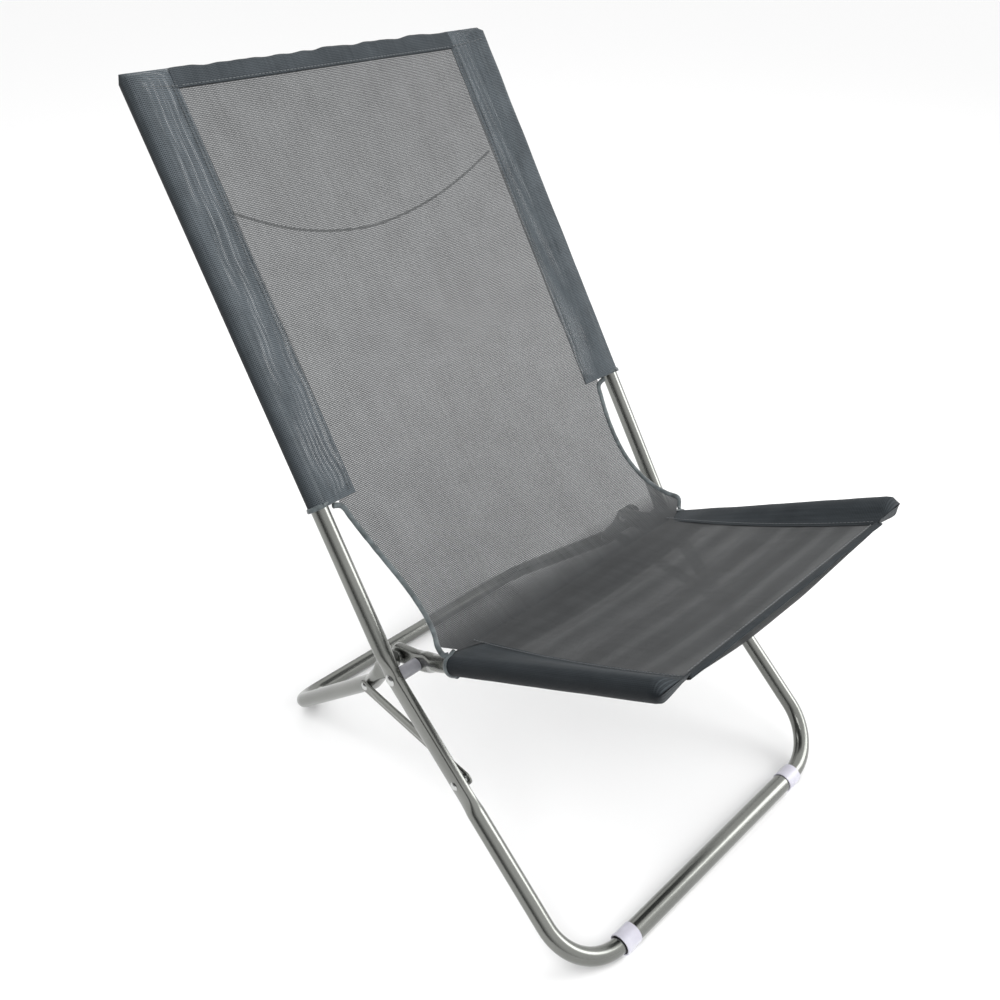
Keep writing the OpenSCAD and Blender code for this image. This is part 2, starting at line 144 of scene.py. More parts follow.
softbox("key_softbox", place=(-1.6, -0.6, 2.6), aim=(0, 0, 0.4), size=(0.7, 1.8), power=29)
softbox("side_softbox", place=(2.2, -1.6, 1.5), aim=(0, 0, 0.3), size=(1.3, 1.8), power=42)
softbox("rear_softbox", place=(-1.4, 2.0, 1.6), aim=(0, 0, 0.3), size=(0.4, 1.8), power=6)

# ---------------------------------------------------------------------------
# Carry cord. Twisted light grey cord, 3 mm, sewn into the stitched seam of each back sleeve
# and hanging free behind the back, to carry the folded chair by.
# ---------------------------------------------------------------------------

half_route = [(0.182, 0.253, 0.656), (0.176, 0.254, 0.652), (0.166, 0.254, 0.647), (0.152, 0.254, 0.640),
              (0.134, 0.254, 0.632), (0.114, 0.254, 0.624), (0.092, 0.254, 0.617), (0.068, 0.254, 0.611),
              (0.046, 0.254, 0.607), (0.022, 0.254, 0.604)]
cord_route = half_route + [(0.0, 0.254, 0.603)] + [(-x, y, z) for x, y, z in reversed(half_route)]
CORD_D, CORD_TWIST = 0.003, 0.009


def new_object(name, mesh):
    made = bpy.data.objects.new(name, mesh)
    scene.collection.objects.link(made)
    return made


def smooth(made):
    for face in made.data.polygons:
        face.use_smooth = True
    return made


def catmull(points, steps):
    """A smooth line through the points, with that many steps between two of them."""
    line = []
    points = [Vector(p) for p in points]
    for i in range(len(points) - 1):
        a = points[max(i - 1, 0)]
        b, c = points[i], points[i + 1]
        d = points[min(i + 2, len(points) - 1)]
        for k in range(steps):
            t = k / steps
            line.append(0.5 * ((2 * b) + (c - a) * t + (2 * a - 5 * b + 4 * c - d) * t * t
                               + (3 * b - a - 3 * c + d) * t * t * t))
    line.append(points[-1])
    return line


def frames_along(line, side):
    """Tangent and two cross directions at each point, kept close to the given side direction."""
    found = []
    for i, p in enumerate(line):
        t = (line[min(i + 1, len(line) - 1)] - line[max(i - 1, 0)]).normalized()
        u = (side - t * side.dot(t)).normalized()
        found.append((p, t, u, t.cross(u)))
    return found


def tube_faces(count, around, base=0):
    """Side faces between rings of points, then a cap at each end."""
    faces = []
    for i in range(count - 1):
        for k in range(around):
            n = (k + 1) % around
            faces.append((base + i * around + k, base + i * around + n,
                          base + (i + 1) * around + n, base + (i + 1) * around + k))
    faces.append(tuple(base + k for k in reversed(range(around))))
    faces.append(tuple(base + (count - 1) * around + k for k in range(around)))
    return faces


def ringed_piece(name, points, around):
    """A closed piece from rings of points that lie one after the other."""
    mesh = bpy.data.meshes.new(name)
    mesh.from_pydata([tuple(p) for p in points], [], tube_faces(len(points) // around, around))
    return smooth(new_object(name, mesh))


def twisted_cord(name, line, diameter, pitch, strands=3, around=18):
    """A round cord whose outline carries the strands' twist."""
    rings, travelled = [], 0.0
    stations = frames_along(line, Vector((0, 1, 0)))
    for i, (p, t, u, v) in enumerate(stations):
        if i:
            travelled += (p - stations[i - 1][0]).length
        for k in range(around):
            a = 2 * pi * k / around
            swell = 0.90 + 0.10 * abs(cos(strands * 0.5 * (a - 2 * pi * travelled / pitch)))
            rings.append(p + (u * cos(a) + v * sin(a)) * diameter / 2 * swell)
    return ringed_piece(name, rings, around)


def noise_value(nodes, links, place, values):
    """The value of a noise texture that reads the given coordinate, or the piece's own box."""
    texture = set_sockets(nodes.new("ShaderNodeTexNoise"), values)
    if place:
        links.new(place, texture.inputs["Vector"])
    return texture.outputs["Fac"]


def tone_ramp(nodes, links, value, dark, light, low=0.0, high=1.0):
    """The colour between a dark and a light tone that a texture's value gives."""
    ramp = nodes.new("ShaderNodeValToRGB")
    for stop, position, colour in zip(ramp.color_ramp.elements, (low, high), (dark, light)):
        stop.position = position
        stop.color = (*colour, 1)
    links.new(value, ramp.inputs["Fac"])
    return ramp.outputs["Color"]


cord_line = catmull(cord_route, 16)
carry_cord = twisted_cord("carry_cord_twisted", cord_line, CORD_D, CORD_TWIST)
cord_finish, nodes, links, shader = new_finish("light_cord", {"Roughness": 0.75, "Sheen Weight": 0.25})
speckle = noise_value(nodes, links, None, {"Scale": 900})
links.new(tone_ramp(nodes, links, speckle, (0.50, 0.49, 0.47), (0.80, 0.79, 0.76)), shader.inputs["Base Color"])
carry_cord.data.materials.append(cord_finish)
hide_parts("carry_cord")
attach(carry_cord, "main_frame")

# ---------------------------------------------------------------------------
# Frame tubes. Each side is one 19 mm steel tube from the top of the back to the bend at the
# front floor bar, pressed flat and kinked at the main pivot, coated satin silver grey.
# ---------------------------------------------------------------------------

TUBE_R = 0.0095
BACK_ANGLE, SEAT_ANGLE = radians(56), radians(29)
FRAME_X, SEAT_X, REAR_X = 0.228, 0.191, 0.205
FLAT_HALF_T, FLAT_HALF_W = 0.006, 0.0115
PRESS_RUN = 0.020


def ranged(nodes, links, value, values):
    """A value moved to another range."""
    step = set_sockets(nodes.new("ShaderNodeMapRange"), values)
    links.new(value, step.inputs["Value"])
    return step.outputs["Result"]


def bumped(nodes, links, height, shader, strength, distance):
    """Raises the surface by a texture's value."""
    bump = set_sockets(nodes.new("ShaderNodeBump"), {"Strength": strength, "Distance": distance})
    links.new(height, bump.inputs["Height"])
    links.new(bump.outputs["Normal"], shader.inputs["Normal"])


def coated_steel(name, tint, rough, fleck):
    """Thin metallic coating over steel: even colour, slight cloudiness, small rubbed spots."""
    finish, nodes, links, shader = new_finish(name, {"Metallic": 1.0, "Coat Weight": 0.30, "Coat Roughness": 0.16})
    place = nodes.new("ShaderNodeTexCoord").outputs["Object"]
    cloud = noise_value(nodes, links, place, {"Scale": 14, "Detail": 6})
    scuff = noise_value(nodes, links, place, {"Scale": 95, "Detail": 8, "Roughness": 0.75})
    bare = nodes.new("ShaderNodeMix")
    bare.data_type = "RGBA"
    set_sockets(bare, {"B": (*[min(1.0, c * 2.1) for c in tint], 1)})
    links.new(ranged(nodes, links, scuff, {"From Min": 0.62, "From Max": 0.80, "To Max": 0.35}),
              bare.inputs["Factor"])
    links.new(tone_ramp(nodes, links, cloud, [c * 0.80 for c in tint], tint, 0.3, 0.75), bare.inputs["A"])
    links.new(bare.outputs["Result"], shader.inputs["Base Color"])
    grain = noise_value(nodes, links, place, {"Scale": fleck, "Detail": 3})
    links.new(ranged(nodes, links, grain, {"To Min": rough - 0.03, "To Max": rough + 0.05}),
              shader.inputs["Roughness"])
    bumped(nodes, links, grain, shader, 0.015, 0.0002)
    return finish


silver_coat = coated_steel("silver_tube_coat", tint=(0.205, 0.210, 0.196), rough=0.24, fleck=700)


def side_point(x, y, z):
    """A point given from the main pivot in millimetres, as seen from the side, at the width x in metres."""
    return Vector((x, PIVOT.y + y / 1000, PIVOT.z + z / 1000))


def drawn_tube(name, stations, around=40, flat_way=(1, 0, 0)):
    """A tube through stations of (point, half thickness along X, half width in the side plane).
    Round where the two halves are equal, pressed flat where they differ."""
    verts = []
    points = [s[0] for s in stations]
    u = Vector(flat_way)
    for i, (point, half_t, half_w) in enumerate(stations):
        t = (points[min(i + 1, len(points) - 1)] - points[max(i - 1, 0)]).normalized()
        u = (u - t * u.dot(t)).normalized()
        v = t.cross(u)
        power = 2.0 + 3.0 * max(0.0, half_w / half_t - 1.0)
        for k in range(around):
            a = 2 * pi * k / around
            du = half_t * math.copysign(abs(cos(a)) ** (2 / power), cos(a))
            verts.append(point + u * du + v * half_w * sin(a))
    made = ringed_piece(name, verts, around)
    for face in made.data.polygons:
        if len(face.vertices) > 4:
            face.use_smooth = False
    return made


def eased(t):
    """0 to 1 with a soft start and a soft end."""
    return t * t * (3 - 2 * t)


def press(distance, start, run):
    """0 where the tube is round, 1 where it is pressed flat."""
    return eased(min(1.0, max(0.0, (distance - start) / run)))


def flattened(share):
    """Half thickness and half width of the tube, from round (0) to pressed flat (1)."""
    return (TUBE_R + (FLAT_HALF_T - TUBE_R) * share, TUBE_R + (FLAT_HALF_W - TUBE_R) * share)


def bend(corner, from_dir, to_dir, radius, steps=20):
    """Points of a round bend that turns from one direction to another about a corner point."""
    a, b = from_dir.normalized(), to_dir.normalized()
    turn = a.angle(b)
    reach = radius * math.tan(turn / 2)
    start = corner - a * reach
    inward = (b - a * a.dot(b)).normalized()
    centre = start + inward * radius
    return [centre + (-inward * cos(turn * k / steps) + a * sin(turn * k / steps)) * radius
            for k in range(steps + 1)], reach


FRONT_BAR_Y, FRONT_BAR_Z = PIVOT.y - 0.275, 0.0122
FOOT_BEND_R, PUSHED_IN = 0.065, 0.028
# Along the post above the pivot: its top, where it starts to be pressed, and how far the pressing runs down.
POST_LENGTH, POST_PRESS, POST_PRESS_RUN = 0.640, 0.030, 0.025
KINK_R, KINK_REACH = 0.020, 0.0045
FLAT_START, FLAT_END = 0.006, 0.142
front_corner = Vector((FRAME_X, FRONT_BAR_Y, FRONT_BAR_Z))
pivot_side = Vector((FRAME_X, PIVOT.y, PIVOT.z))
leg_line = front_corner - pivot_side
leg_way = leg_line.normalized()
back_way = Vector((0, cos(BACK_ANGLE), sin(BACK_ANGLE)))


def frame_tube_stations():
    """From the top of the back post down to the end inside the front floor bar."""
    stations = []
    for k in range(33):
        s = POST_LENGTH - (POST_LENGTH - POST_PRESS) * k / 32
        stations.append((pivot_side + back_way * s, TUBE_R, TUBE_R))
    for k in range(1, 13):
        s = POST_PRESS - POST_PRESS_RUN * k / 12
        stations.append((pivot_side + back_way * s, *flattened(press(POST_PRESS - s, 0.0, 0.024))))
    kink = bend(pivot_side, -back_way, leg_way, KINK_R, 6)[0]
    stations += [(p, *flattened(1)) for p in kink if (p - pivot_side).length < KINK_REACH]
    for k in range(1, 20):
        stations.append((pivot_side + leg_way * (FLAT_START + (FLAT_END - FLAT_START) * k / 19), *flattened(1)))
    for k in range(1, 13):
        s = FLAT_END + PRESS_RUN * k / 12
        stations.append((pivot_side + leg_way * s, *flattened(1 - press(s, FLAT_END, PRESS_RUN))))
    round_bend, reach = bend(front_corner, leg_way, Vector((-1, 0, 0)), FOOT_BEND_R, 26)
    start = FLAT_END + PRESS_RUN
    for k in range(1, 16):
        s = start + (leg_line.length - reach - start) * k / 16
        stations.append((pivot_side + leg_way * s, TUBE_R, TUBE_R))
    stations += [(p, TUBE_R, TUBE_R) for p in round_bend]
    stations.append((front_corner + Vector((-FOOT_BEND_R - PUSHED_IN, 0, 0)), TUBE_R, TUBE_R))
    return stations


def mirrored(stations):
    """The same stations on the left side."""
    return [(Vector((-s[0].x, s[0].y, s[0].z)), s[1], s[2]) for s in stations]


for side_name, stations in (("right", frame_tube_stations()), ("left", mirrored(frame_tube_stations()))):
    tube = drawn_tube("frame_tube_bent_" + side_name, stations)
    tube.data.materials.append(silver_coat)
    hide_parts("frame_tube_" + side_name)
    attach(tube, "main_frame")

# ---------------------------------------------------------------------------
# Front floor bar. A thicker steel tube that lies on the floor; the bent frame tubes are pushed
# into its two ends. Same satin silver-grey coating.
# ---------------------------------------------------------------------------

BAR_R, BAR_HALF, LIP = 0.011, 0.163, 0.0008
bar_ends = [(BAR_HALF - LIP, BAR_R), (BAR_HALF, BAR_R - 0.0009)]
bar_marks = [(-x, radius) for x, radius in reversed(bar_ends)]
bar_marks += [(-BAR_HALF + 0.004 + (2 * BAR_HALF - 0.008) * k / 40, BAR_R) for k in range(41)] + bar_ends
bar_stations = [(Vector((x, FRONT_BAR_Y, FRONT_BAR_Z)), radius, radius) for x, radius in bar_marks]
front_bar = drawn_tube("front_floor_bar_tube", bar_stations, 44, (0, 1, 0))
front_bar.data.materials.append(silver_coat)
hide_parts("front_floor_bar")
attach(front_bar, "main_frame")

# ---------------------------------------------------------------------------
# Foot sleeves. Short moulded rings of translucent lavender-grey plastic over the ends of the
# front floor bar, which keep the chair from scraping the floor.
# ---------------------------------------------------------------------------


def moulded_plastic(name, pale, deep, rough, through):
    """Moulded plastic, a little cloudy inside, with a fine matt grain on its skin."""
    finish, nodes, links, shader = new_finish(name, {
        "Subsurface Weight": through, "Subsurface Radius": (0.004, 0.004, 0.005),
        "Coat Weight": 0.2, "Coat Roughness": 0.2})
    place = nodes.new("ShaderNodeTexCoord").outputs["Object"]
    cloud = noise_value(nodes, links, place, {"Scale": 60, "Detail": 4})
    links.new(tone_ramp(nodes, links, cloud, deep, pale, 0.35, 0.7), shader.inputs["Base Color"])
    grain = noise_value(nodes, links, place, {"Scale": 1400})
    links.new(ranged(nodes, links, grain, {"To Min": rough - 0.05, "To Max": rough + 0.1}),
              shader.inputs["Roughness"])
    bumped(nodes, links, grain, shader, 0.12, 0.0001)
    return finish


def finish_solid(node, finish):
    """Gives a solid that keeps its own shape its real finish."""
    part = bpy.data.objects[node]
    if part.material_slots:
        for held in part.material_slots:
            held.material = finish
    else:
        part.data.materials.append(finish)


lavender_plastic = moulded_plastic("lavender_plastic", pale=(0.60, 0.59, 0.66), deep=(0.50, 0.49, 0.56),
                                   rough=0.32, through=0.35)
for node in ("foot_sleeve_left", "foot_sleeve_right"):
    finish_solid(node, lavender_plastic)

# ---------------------------------------------------------------------------
# Push-in end plugs. Dark moulded plastic in the open ends of the back posts and the seat rails,
# inside the closed ends of the cloth sleeves.
# ---------------------------------------------------------------------------

dark_plastic = moulded_plastic("dark_plug_plastic", pale=(0.050, 0.052, 0.055), deep=(0.030, 0.031, 0.033),
                               rough=0.45, through=0.0)
for node in ("back_end_plugs", "seat_end_plugs"):
    finish_solid(node, dark_plastic)

# ---------------------------------------------------------------------------
# Bolts, nuts, rivets, washers and pivot spacers. Bright zinc-plated steel at every pivot, and a
# clear plastic spacer that keeps the seat rail off the frame tube.
# ---------------------------------------------------------------------------

bright_zinc = coated_steel("bright_zinc", tint=(0.56, 0.57, 0.56), rough=0.24, fleck=900)
for node in ("main_bolts", "main_bolt_nuts", "brace_lower_rivets", "brace_washers", "rear_pivot_rivets",
             "rear_pivot_washers", "brace_anchor_rivets", "brace_upper_rivets"):
    finish_solid(node, bright_zinc)
clear_spacer = moulded_plastic("clear_spacer_plastic", pale=(0.27, 0.27, 0.29), deep=(0.19, 0.19, 0.21),
                               rough=0.22, through=0.3)
finish_solid("pivot_spacers", clear_spacer)

# ---------------------------------------------------------------------------
# Seat rails. 19 mm steel tube, pressed flat and kinked at the main pivot, with a short flat tail
# that reaches on to the rear pivot. The front end is inside the closed sleeve.
# ---------------------------------------------------------------------------

rear_pivot_at = (34.0, -10.0)
tail_way = Vector((0, 34, -10)).normalized()
seat_way = Vector((0, -cos(SEAT_ANGLE), sin(SEAT_ANGLE)))
TAIL_LENGTH = math.hypot(34, 10) / 1000
# Along the rail from the main pivot: the pressed part, its change to round, and the length of round tube.
RAIL_PRESS, RAIL_PRESS_RUN, RAIL_ROUND = 0.012, 0.018, 0.308


def pressed_tip(at, way, steps=8):
    """Stations of the rounded end of a pressed tube, from its tip in to the centre of the round."""
    found = []
    for k in range(steps + 1):
        q = 0.94 * (1 - k / steps)
        found.append((at + way * FLAT_HALF_W * q, FLAT_HALF_T - 0.0010 * q ** 4, FLAT_HALF_W * math.sqrt(1 - q * q)))
    return found


def seat_rail_stations():
    """From the tip of the flat tail, past the main pivot, to the front end inside the sleeve."""
    pivot = Vector((SEAT_X, PIVOT.y, PIVOT.z))
    stations = pressed_tip(pivot + tail_way * TAIL_LENGTH, tail_way)
    for k in range(1, 7):
        stations.append((pivot + tail_way * (TAIL_LENGTH - (TAIL_LENGTH - 0.006) * k / 6), *flattened(1)))
    for k in range(1, 5):
        stations.append((pivot + seat_way * (0.004 + 0.008 * k / 4), *flattened(1)))
    for k in range(1, 13):
        d = RAIL_PRESS + RAIL_PRESS_RUN * k / 12
        stations.append((pivot + seat_way * d, *flattened(1 - press(d, RAIL_PRESS, RAIL_PRESS_RUN))))
    for k in range(1, 17):
        stations.append((pivot + seat_way * (RAIL_PRESS + RAIL_PRESS_RUN + RAIL_ROUND * k / 16), TUBE_R, TUBE_R))
    return stations


for side_name, stations in (("right", seat_rail_stations()), ("left", mirrored(seat_rail_stations()))):
    rail = drawn_tube("seat_rail_tube_" + side_name, stations)
    rail.data.materials.append(silver_coat)
    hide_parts("seat_rail_" + side_name)
    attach(rail, "seat")

# ---------------------------------------------------------------------------
# Rear loop. One bent steel tube: pressed flat at both rear pivots, turned down at the knees, and
# bent across along the floor behind the chair.
# ---------------------------------------------------------------------------

KNEE_R, CORNER_R = 0.030, 0.045
LEG_PRESS, LEG_PRESS_RUN = 0.024, 0.016
FLOOR_RUN_HALF = 0.14
knee_at = side_point(REAR_X, 70, -67)
knuckle = side_point(REAR_X, *rear_pivot_at)
rear_corner = Vector((REAR_X, PIVOT.y + 0.254, TUBE_R))
upper_way = (knee_at - knuckle).normalized()
lower_way = (rear_corner - knee_at).normalized()


def rear_loop_half():
    """From the right rear pivot round the knee and the floor corner."""
    stations = pressed_tip(knuckle, -upper_way)
    for k in range(1, 7):
        stations.append((knuckle + upper_way * LEG_PRESS * k / 6, *flattened(1)))
    for k in range(1, 11):
        d = LEG_PRESS + LEG_PRESS_RUN * k / 10
        stations.append((knuckle + upper_way * d, *flattened(1 - press(d, LEG_PRESS, LEG_PRESS_RUN))))
    knee_bend, reach = bend(knee_at, upper_way, lower_way, KNEE_R, 12)
    stations += [(p, TUBE_R, TUBE_R) for p in knee_bend]
    turn, turn_reach = bend(rear_corner, lower_way, Vector((-1, 0, 0)), CORNER_R, 24)
    run = (rear_corner - knee_at).length - reach - turn_reach
    for k in range(1, 14):
        stations.append((knee_at + lower_way * (reach + run * k / 14), TUBE_R, TUBE_R))
    stations += [(p, TUBE_R, TUBE_R) for p in turn]
    return stations


right_half = rear_loop_half()
floor_run = [(Vector((FLOOR_RUN_HALF * (1 - k / 8), rear_corner.y, TUBE_R)), TUBE_R, TUBE_R) for k in range(17)]
loop_stations = right_half + floor_run + list(reversed(mirrored(right_half)))
rear_loop = drawn_tube("rear_loop_tube", loop_stations)
rear_loop.data.materials.append(silver_coat)
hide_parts("rear_leg_left", "rear_leg_right", "rear_floor_bar")
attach(rear_loop, "rear_legs")

# ---------------------------------------------------------------------------
# Brace strips. Flat coated steel strips with round ends and a rib pressed along the middle, one
# each side, riveted to the frame tube and to the knee of the rear loop.
# ---------------------------------------------------------------------------

BRACE_HALF_W, BRACE_T, BRACE_INNER_X = 0.008, 0.0026, 0.2157
RIB_H, RIB_SPREAD, RIB_CLEAR = 0.0011, 0.0022, 0.012
brace_low, brace_top = (-96.686, -80.795), (70.0, -67.0)


def brace_strip(name, side):
    """A strip from rivet to rivet with round ends, and a rib pressed through it that stops short of the rivets."""
    low, top = side_point(0, *brace_low), side_point(0, *brace_top)
    way = (top - low).normalized()
    cross = Vector((0, -way.z, way.y))
    length = (top - low).length
    verts, across = [], 14
    marks = [-BRACE_HALF_W * sin(pi / 2 * (1 - k / 8)) for k in range(8)]
    marks = marks + [length * k / 48 for k in range(49)] + [length - m for m in reversed(marks)]
    for along_at in marks:
        past = max(0.0, -along_at, along_at - length)
        half = math.sqrt(max(BRACE_HALF_W ** 2 - past ** 2, 0.0006 ** 2))
        ends = min(1.0, max(0.0, (min(along_at, length - along_at) - RIB_CLEAR) / 0.010))
        for face_side in (1, -1):
            for k in range(across + 1):
                v = (-1 + 2 * k / across) * face_side
                rib = RIB_H * ends * math.exp(-(v * half / RIB_SPREAD) ** 2)
                edge = 0.0005 * max(0.0, abs(v) - 0.86) / 0.14
                level = BRACE_INNER_X + (BRACE_T - edge if face_side > 0 else edge) + rib
                point = low + way * along_at + cross * (v * half)
                verts.append((side * level, point.y, point.z))
    strip = ringed_piece(name, verts, 2 * (across + 1))
    clean = bmesh.new()
    clean.from_mesh(strip.data)
    bmesh.ops.recalc_face_normals(clean, faces=clean.faces)
    clean.to_mesh(strip.data)
    clean.free()
    return strip


brace_zinc = coated_steel("brace_strip_zinc", tint=(0.20, 0.205, 0.19), rough=0.27, fleck=700)
for side_name, side in (("right", 1), ("left", -1)):
    strip = brace_strip("brace_strip_" + side_name, side)
    strip.data.materials.append(brace_zinc)
    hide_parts("brace_" + side_name)
    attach(strip, "braces")

# ---------------------------------------------------------------------------
# Sling. One width of open woven mesh, coated yarn in slate grey, stretched between the back
# posts and again between the seat rails, with a bound cut-out on each side at the fold.
# ---------------------------------------------------------------------------

YARN = 0.0016


def woven_mesh(name, dark, light, solid, rough, gloss):
    """Open plain weave. UV runs in metres along the two yarns: threads crown the surface, and the
    holes between them let the background through."""
    finish, nodes, links, shader = new_finish(name, {"Roughness": rough, "Specular IOR Level": gloss,
                                                     "Sheen Weight": gloss * 0.4, "Sheen Roughness": 0.5})
    weave_map = nodes.new("ShaderNodeUVMap")
    weave_map.uv_map = "weave"
    place = weave_map.outputs["UV"]
    parts = nodes.new("ShaderNodeSeparateXYZ")
    links.new(place, parts.inputs["Vector"])

    def arith(kind, *values):
        step = nodes.new("ShaderNodeMath")
        step.operation = kind
        for socket, value in zip(step.inputs, values):
            if isinstance(value, (int, float)):
                socket.default_value = value
            else:
                links.new(value, socket)
        return step.outputs[0]

    across = arith("ABSOLUTE", arith("SINE", arith("MULTIPLY", parts.outputs["X"], pi / YARN)))
    along = arith("ABSOLUTE", arith("SINE", arith("MULTIPLY", parts.outputs["Y"], pi / (YARN * 1.15))))
    thread = arith("MAXIMUM", across, along)
    cloud = noise_value(nodes, links, place, {"Scale": 26, "Detail": 5})
    stretch = set_sockets(nodes.new("ShaderNodeMapping"), {"Scale": (1.0, 0.03, 1.0)})
    links.new(place, stretch.inputs["Vector"])
    streak = noise_value(nodes, links, stretch.outputs["Vector"], {"Scale": 300})
    shade = nodes.new("ShaderNodeAttribute")
    shade.attribute_name = "tone_and_painted_shade"
    mixed = arith("MULTIPLY_ADD", cloud, 0.55, arith("MULTIPLY", streak, 0.45))
    # Painted highlight: the crests of the threads are lighter and their sides darker.
    crest_highlight = arith("MULTIPLY_ADD", arith("POWER", thread, 5.0), 1.1, 0.25)
    tone = nodes.new("ShaderNodeMix")
    tone.data_type = "RGBA"
    set_sockets(tone, {"A": (*dark, 1), "B": (*light, 1)})
    links.new(arith("MULTIPLY", arith("MULTIPLY", mixed, crest_highlight), shade.outputs["Fac"]), tone.inputs["Factor"])
    links.new(tone.outputs["Result"], shader.inputs["Base Color"])
    # Where painted shade lowers the tone, the holes close as well: the holes close as the tone falls.
    closed = arith("MULTIPLY_ADD", arith("SUBTRACT", 1.0, shade.outputs["Fac"]), 1.25, solid)
    hole = set_sockets(nodes.new("ShaderNodeMapRange"), {"From Min": 0.55, "From Max": 0.72})
    links.new(thread, hole.inputs["Value"])
    links.new(arith("MINIMUM", closed, 1.0), hole.inputs["To Min"])
    links.new(hole.outputs["Result"], shader.inputs["Alpha"])
    bumped(nodes, links, thread, shader, 0.5, 0.0004)
    return finish


slate_mesh = woven_mesh("slate_mesh", dark=(0.008, 0.009, 0.010), light=(0.125, 0.131, 0.135),
                        solid=0.30, rough=0.62, gloss=0.25)
slate_mesh_turned = woven_mesh("slate_mesh_turned", dark=(0.004, 0.006, 0.008), light=(0.112, 0.130, 0.144),
                               solid=0.80, rough=0.66, gloss=0.12)


def sheet_mesh(name, rows, tones):
    """Grid of rows of points, with the weave's UV in metres along both directions and a tone at each point, which
    also carries the painted shade.
    """
    verts = [tuple(p) for row in rows for p in row]
    wide = len(rows[0])
    faces = []
    for i in range(len(rows) - 1):
        for k in range(wide - 1):
            faces.append((i * wide + k, i * wide + k + 1, (i + 1) * wide + k + 1, (i + 1) * wide + k))
    mesh = bpy.data.meshes.new(name)
    mesh.from_pydata(verts, [], faces)
    weave = mesh.uv_layers.new(name="weave")
    middle = wide // 2
    run = [0.0]
    for i in range(1, len(rows)):
        run.append(run[-1] + (rows[i][middle] - rows[i - 1][middle]).length)
    spread = []
    for row in rows:
        walked = [0.0]
        for k in range(1, wide):
            walked.append(walked[-1] + (row[k] - row[k - 1]).length)
        spread.append([w - walked[middle] for w in walked])
    for face in mesh.polygons:
        for corner in face.loop_indices:
            index = mesh.loops[corner].vertex_index
            weave.data[corner].uv = (spread[index // wide][index % wide], run[index // wide])
    shade = mesh.attributes.new("tone_and_painted_shade", "FLOAT", "POINT")
    for i in range(len(rows)):
        for k in range(wide):
            shade.data[i * wide + k].value = tones[i][k]
    return smooth(new_object(name, mesh))


# Distances in millimetres from the main pivot: up the back post, and out along the seat rail.
TOP_S, BACK_END_S = 648, 190
SEAT_START_S, SEAT_END_S = 58, 345
SEAT_LIFT, FOLD_LIFT = -6, 13.5
# Half widths: between the back sleeves, at their feet, at the end of the fold and between the seat sleeves.
BACK_HALF, FOOT_HALF, NOTCH_HALF, SEAT_HALF = 183, 204, 200, 160
FLARE_FROM, FLARE_RUN, SEAT_FLARE = 206, 8, 38
BACK_ROWS, FOLD_ROWS, SEAT_ROWS = 64, 40, 44
LAST_FOLD_ROW = BACK_ROWS + FOLD_ROWS - 1
COLUMNS = 72


def back_at(s, lift=0.0):
    """Side-view point s up the back post and lift in front of its middle line."""
    return (s * cos(BACK_ANGLE) - lift * sin(BACK_ANGLE), s * sin(BACK_ANGLE) + lift * cos(BACK_ANGLE))


def seat_at(s, lift=0.0):
    """Side-view point s along the seat rail and lift above its middle line."""
    return (-s * cos(SEAT_ANGLE) + lift * sin(SEAT_ANGLE), s * sin(SEAT_ANGLE) + lift * cos(SEAT_ANGLE))


def seat_lift(s):
    """How far the seat cloth stands above the rails' middle: high where it leaves the fold, lower in front."""
    u = min(1.0, max(0.0, (s - SEAT_START_S) / (SEAT_END_S - SEAT_START_S)))
    return SEAT_LIFT + (FOLD_LIFT - SEAT_LIFT) * (1 - u) ** 2.2


def fold_line():
    """The cloth's middle line from the top hem down to the front hem, as side-view points (y, z) with the
    half width of the cloth there, in millimetres."""
    line = []
    for k in range(BACK_ROWS):
        s = TOP_S + (BACK_END_S - TOP_S) * k / (BACK_ROWS - 1)
        flare = max(0.0, min(1.0, (FLARE_FROM - s) / FLARE_RUN))
        line.append((*back_at(s, 2.0 * sin(pi * k / (BACK_ROWS - 1))), BACK_HALF + (FOOT_HALF - BACK_HALF) * flare))
    foot, hollow, notch = back_at(BACK_END_S), back_at(90), (-38.0, 50.0)
    narrow_at = 0.6
    for k in range(1, FOLD_ROWS + 1):
        u = k / FOLD_ROWS
        y, z = ((1 - u) ** 2 * a + 2 * u * (1 - u) * b + u * u * c for a, b, c in zip(foot, hollow, notch))
        if u < narrow_at:
            half = BACK_HALF + (FOOT_HALF - BACK_HALF) * (1 - u / narrow_at) ** 1.5
        else:
            half = BACK_HALF + (NOTCH_HALF - BACK_HALF) * ((u - narrow_at) / (1 - narrow_at)) ** 2.6
        line.append((y, z, half))
    for k in range(1, SEAT_ROWS + 1):
        u = k / SEAT_ROWS
        s = SEAT_START_S + (SEAT_END_S - SEAT_START_S) * u
        line.append((*seat_at(s, seat_lift(s)), SEAT_HALF + SEAT_FLARE * max(0.0, 1 - u * 15) ** 1.4))
    return line


def ripple(x, run, strength):
    """Soft waves of stretched cloth."""
    broad = noise.noise(Vector((x * 7.0, run * 2.2, 3.1)))
    fine = noise.noise(Vector((x * 17.0, run * 6.0, 8.7)))
    return (broad + fine * 0.35) * strength
